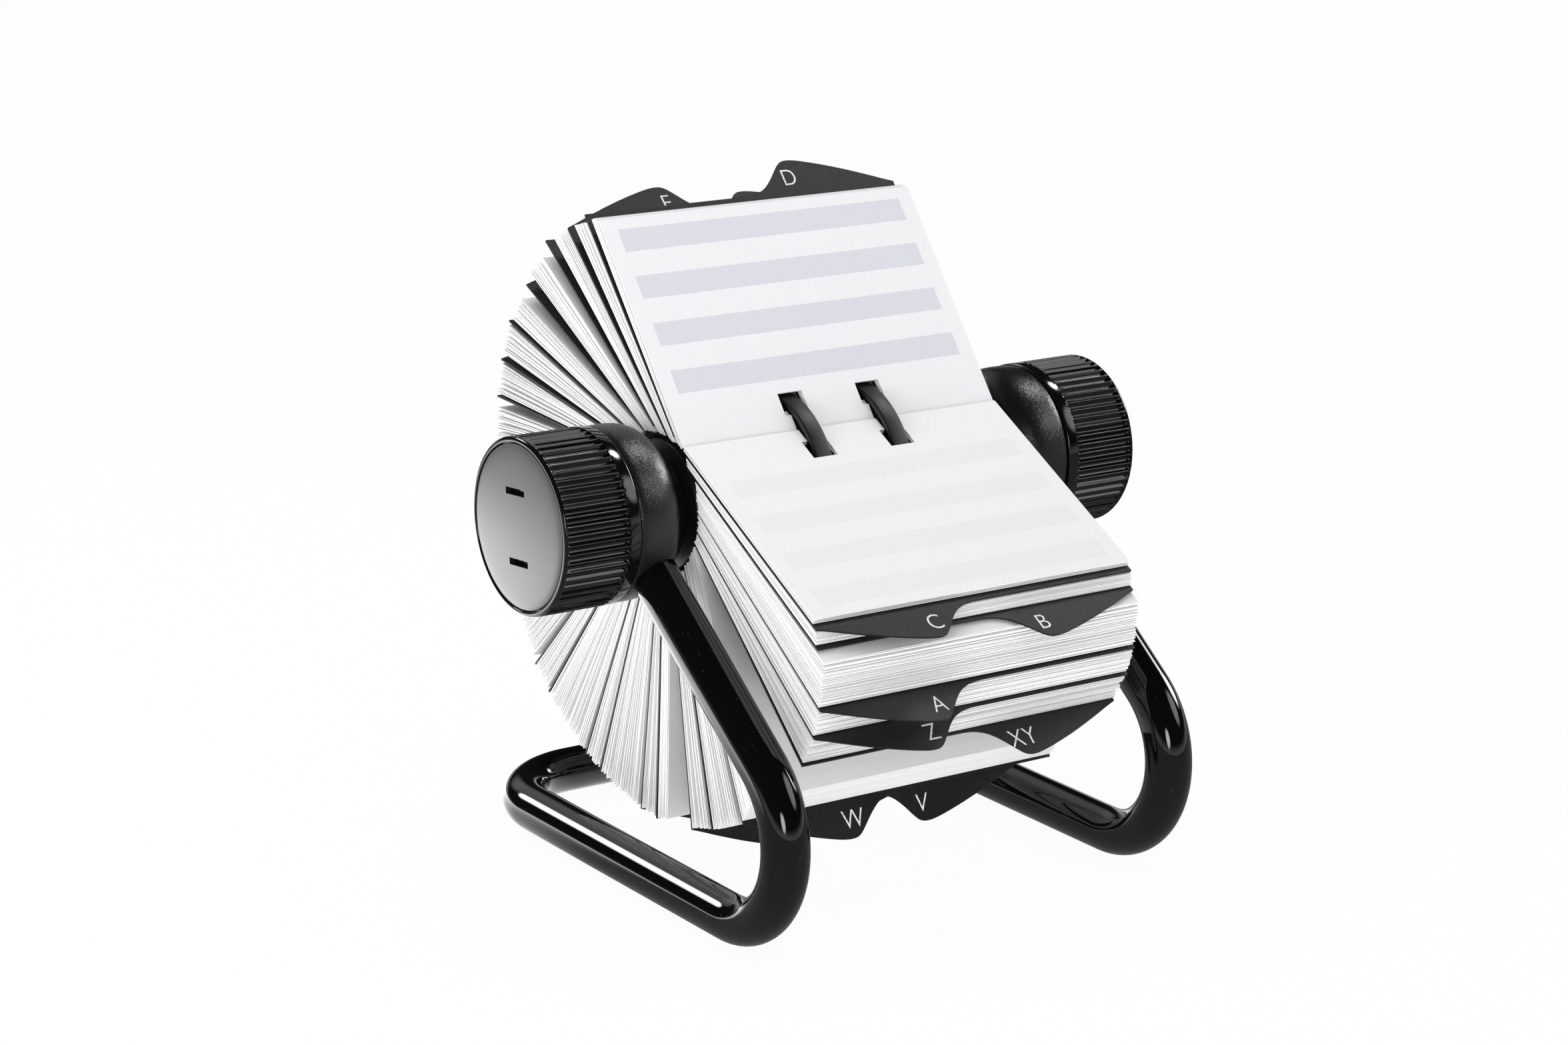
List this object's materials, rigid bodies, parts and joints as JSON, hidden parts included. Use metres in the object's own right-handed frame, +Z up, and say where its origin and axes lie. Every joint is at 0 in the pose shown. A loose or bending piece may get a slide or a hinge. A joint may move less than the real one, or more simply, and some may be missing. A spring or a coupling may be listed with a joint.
{
  "type": "rotary card file",
  "caption": "Desk rotary card file: a drum of fanned index cards and lettered guides between two ribbed knobs, on a bent tube frame.",
  "frame": {"origin": "under the middle of the whole file, on the surface it stands on", "axes": "+X along the axle to the reader's right, +Y away from the reader, +Z up"},
  "size_m": [0.1912, 0.1852, 0.1867],
  "materials": {
    "frame": "high gloss black lacquer",
    "housing": "fine textured black",
    "knob": "gloss black",
    "cap": "matt grey, finely blasted",
    "rail": "satin to gloss black",
    "drum": "satin black",
    "steel": "bright",
    "bush": "natural white nylon",
    "disc": "matt black",
    "guide": "black, fine leather grain",
    "card": "smooth white index card"
  },
  "bodies": {
    "frame": {"tube_frame": "frame", "left_bearing_housing": "housing", "right_bearing_housing": "housing", "left_bearing_bush": "bush", "right_bearing_bush": "bush", "left_grub_screw": "steel", "right_grub_screw": "steel", "left_friction_disc": "disc", "right_friction_disc": "disc"},
    "drum": {"axle": "steel", "drum_core": "drum", "left_drum_end": "drum", "right_drum_end": "drum", "left_card_rail": "rail", "right_card_rail": "rail", "left_clutch_spring": "steel", "right_clutch_spring": "steel", "left_knob": "knob", "right_knob": "knob", "left_knob_cap": "cap", "right_knob_cap": "cap", "left_knob_screw": "steel", "right_knob_screw": "steel", "upper_front_card": "card", "card_pack_1": "card", "card_pack_2": "card", "card_pack_3": "card", "card_pack_4": "card", "card_pack_5": "card", "card_pack_6": "card", "card_pack_7": "card", "card_pack_8": "card", "card_pack_9": "card", "guide_a": "guide", "guide_b": "guide", "guide_c": "guide", "guide_d": "guide", "guide_e": "guide", "guide_f": "guide", "guide_g": "guide", "guide_h": "guide", "guide_i": "guide", "guide_j": "guide", "guide_k": "guide", "guide_l": "guide", "guide_m": "guide", "guide_n": "guide", "guide_o": "guide", "guide_p": "guide", "guide_q": "guide", "guide_r": "guide", "guide_s": "guide", "guide_t": "guide", "guide_u": "guide", "guide_v": "guide", "guide_w": "guide", "guide_xy": "guide", "guide_z": "guide"},
    "front_card": {"lower_front_card": "card"}
  },
  "joints": [
    {"name": "drum_spin", "type": "hinge", "parent": "frame", "child": "drum", "pos_m": [0, -0.00476, 0.1048], "axis": [1, 0, 0], "continuous": true},
    {"name": "card_flip", "type": "hinge", "parent": "drum", "child": "front_card", "pos_m": [0, -0.01905, 0.12362], "axis": [-1, 0, 0], "range_deg": [0, 154]}
  ]
}
